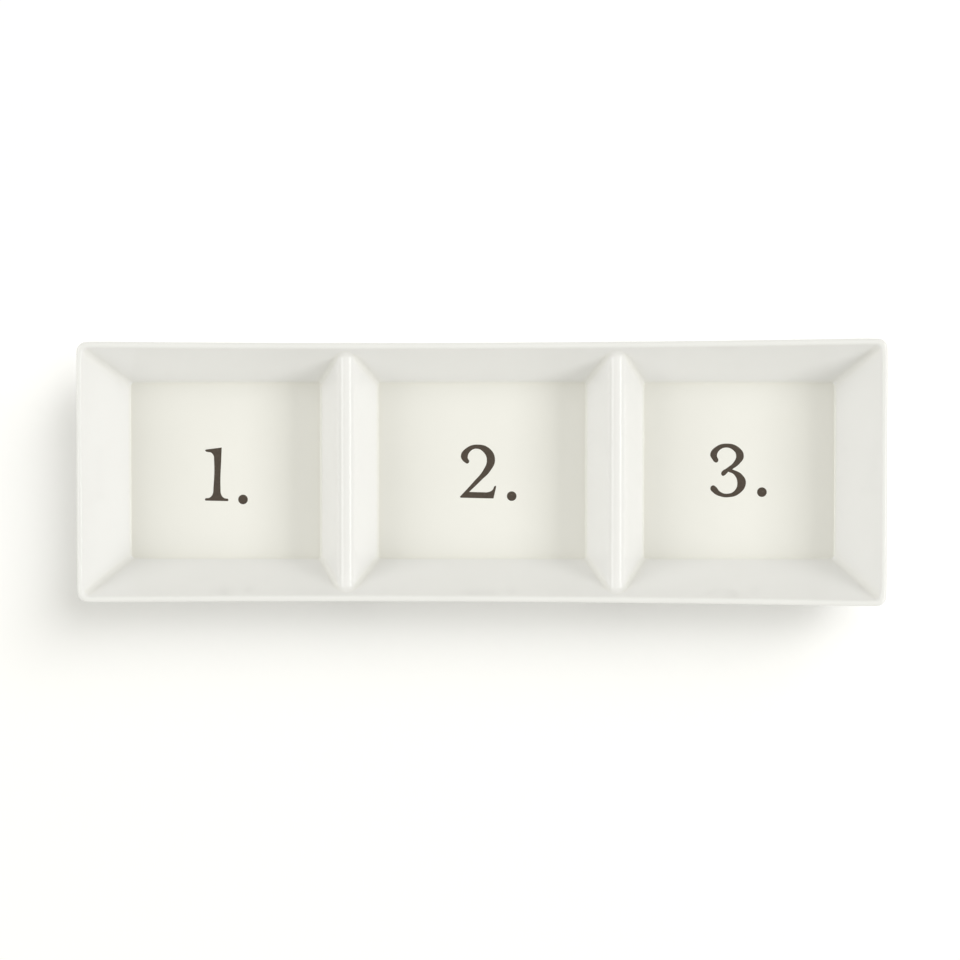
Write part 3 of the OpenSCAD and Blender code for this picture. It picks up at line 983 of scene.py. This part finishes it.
class DISH_OT_white_glaze(bpy.types.Operator):
    """Folds the dish with its three wells and coats it in white glaze"""
    bl_idname = "dish.white_glaze"
    bl_label = "White Glaze"

    def execute(self, context):
        form = DishForm(context.scene.dish_sizes)
        obj = fold_dish(form, 0, "white_glaze")
        # The glaze's depth, whose darker pooled end is also painted shade in the hollows
        mark_pooling_and_shade(form, obj)
        finish_piece(obj, "white_glaze", glazed_stoneware(context.scene.finish_colours),
                     ["glaze_coat"])
        return {"FINISHED"}


class DISH_OT_fired_clay(bpy.types.Operator):
    """Folds the fired clay below the glaze, with its bare foot rings"""
    bl_idname = "dish.fired_clay"
    bl_label = "Fired Clay"

    def execute(self, context):
        form = DishForm(context.scene.dish_sizes)
        obj = fold_dish(form, form.sizes.glaze_thickness, "fired_clay")
        join(obj, foot_rings(form))
        finish_piece(obj, "fired_clay", bare_stoneware(context.scene.finish_colours),
                     ["stoneware_body"])
        return {"FINISHED"}


class DISH_OT_printed_numbers(bpy.types.Operator):
    """Prints a plain number and a full stop on the floor of each well"""
    bl_idname = "dish.printed_numbers"
    bl_label = "Printed Numbers"

    def execute(self, context):
        form = DishForm(context.scene.dish_sizes)
        ink = ceramic_ink(context.scene.finish_colours)
        for name, points, place, stop, tilted in NUMBERS:
            obj = printed_number(form, context.scene.number_sizes, points, place, stop, tilted)
            finish_piece(obj, name + "_number", ink)
        return {"FINISHED"}


class DISH_OT_studio(bpy.types.Operator):
    """Sets up the floor, the lamps and the camera over the dish"""
    bl_idname = "dish.studio"
    bl_label = "Studio"

    def execute(self, context):
        studio, colours = context.scene.studio_settings, context.scene.finish_colours
        floor = lay_floor(colours.floor)
        for lamp in DISH_LAMPS:
            link_light(hang_lamp(studio.lamp_level, *lamp), floor, "EXCLUDE")
        link_light(hang_lamp(studio.lamp_level, *FLOOR_LAMP), floor, "INCLUDE")
        light_sky(colours.sky, studio.sky_strength)
        aim_camera(studio)
        context.scene.view_settings.view_transform = "Standard"
        return {"FINISHED"}


class DISH_PT_sidebar(bpy.types.Panel):
    """Settings and steps of the serving dish"""
    bl_idname = "DISH_PT_sidebar"
    bl_label = "Divided Serving Bowl"
    bl_space_type = "VIEW_3D"
    bl_region_type = "UI"
    bl_category = "Serving Bowl"

    def draw(self, context):
        for name, group in SETTINGS.items():
            box = self.layout.box()
            box.label(text=group.__doc__.split(".")[0])
            settings = getattr(context.scene, name)
            for key in group.__annotations__:
                box.prop(settings, key)
        for operator in OPERATORS:
            self.layout.operator(operator.bl_idname)


SETTINGS = {
    "dish_sizes": DishSizes,
    "number_sizes": NumberSizes,
    "finish_colours": FinishColours,
    "studio_settings": StudioSettings,
}
OPERATORS = (DISH_OT_white_glaze, DISH_OT_fired_clay, DISH_OT_printed_numbers, DISH_OT_studio)
CLASSES = (*SETTINGS.values(), *OPERATORS, DISH_PT_sidebar)


def register():
    for kind in CLASSES:
        bpy.utils.register_class(kind)
    for name, group in SETTINGS.items():
        setattr(bpy.types.Scene, name, PointerProperty(type=group))


def unregister():
    for name in SETTINGS:
        delattr(bpy.types.Scene, name)
    for kind in reversed(CLASSES):
        bpy.utils.unregister_class(kind)


def main():
    register()
    bpy.ops.dish.white_glaze()
    bpy.ops.dish.fired_clay()
    bpy.ops.dish.printed_numbers()
    bpy.ops.dish.studio()


if __name__ == "__main__":
    main()
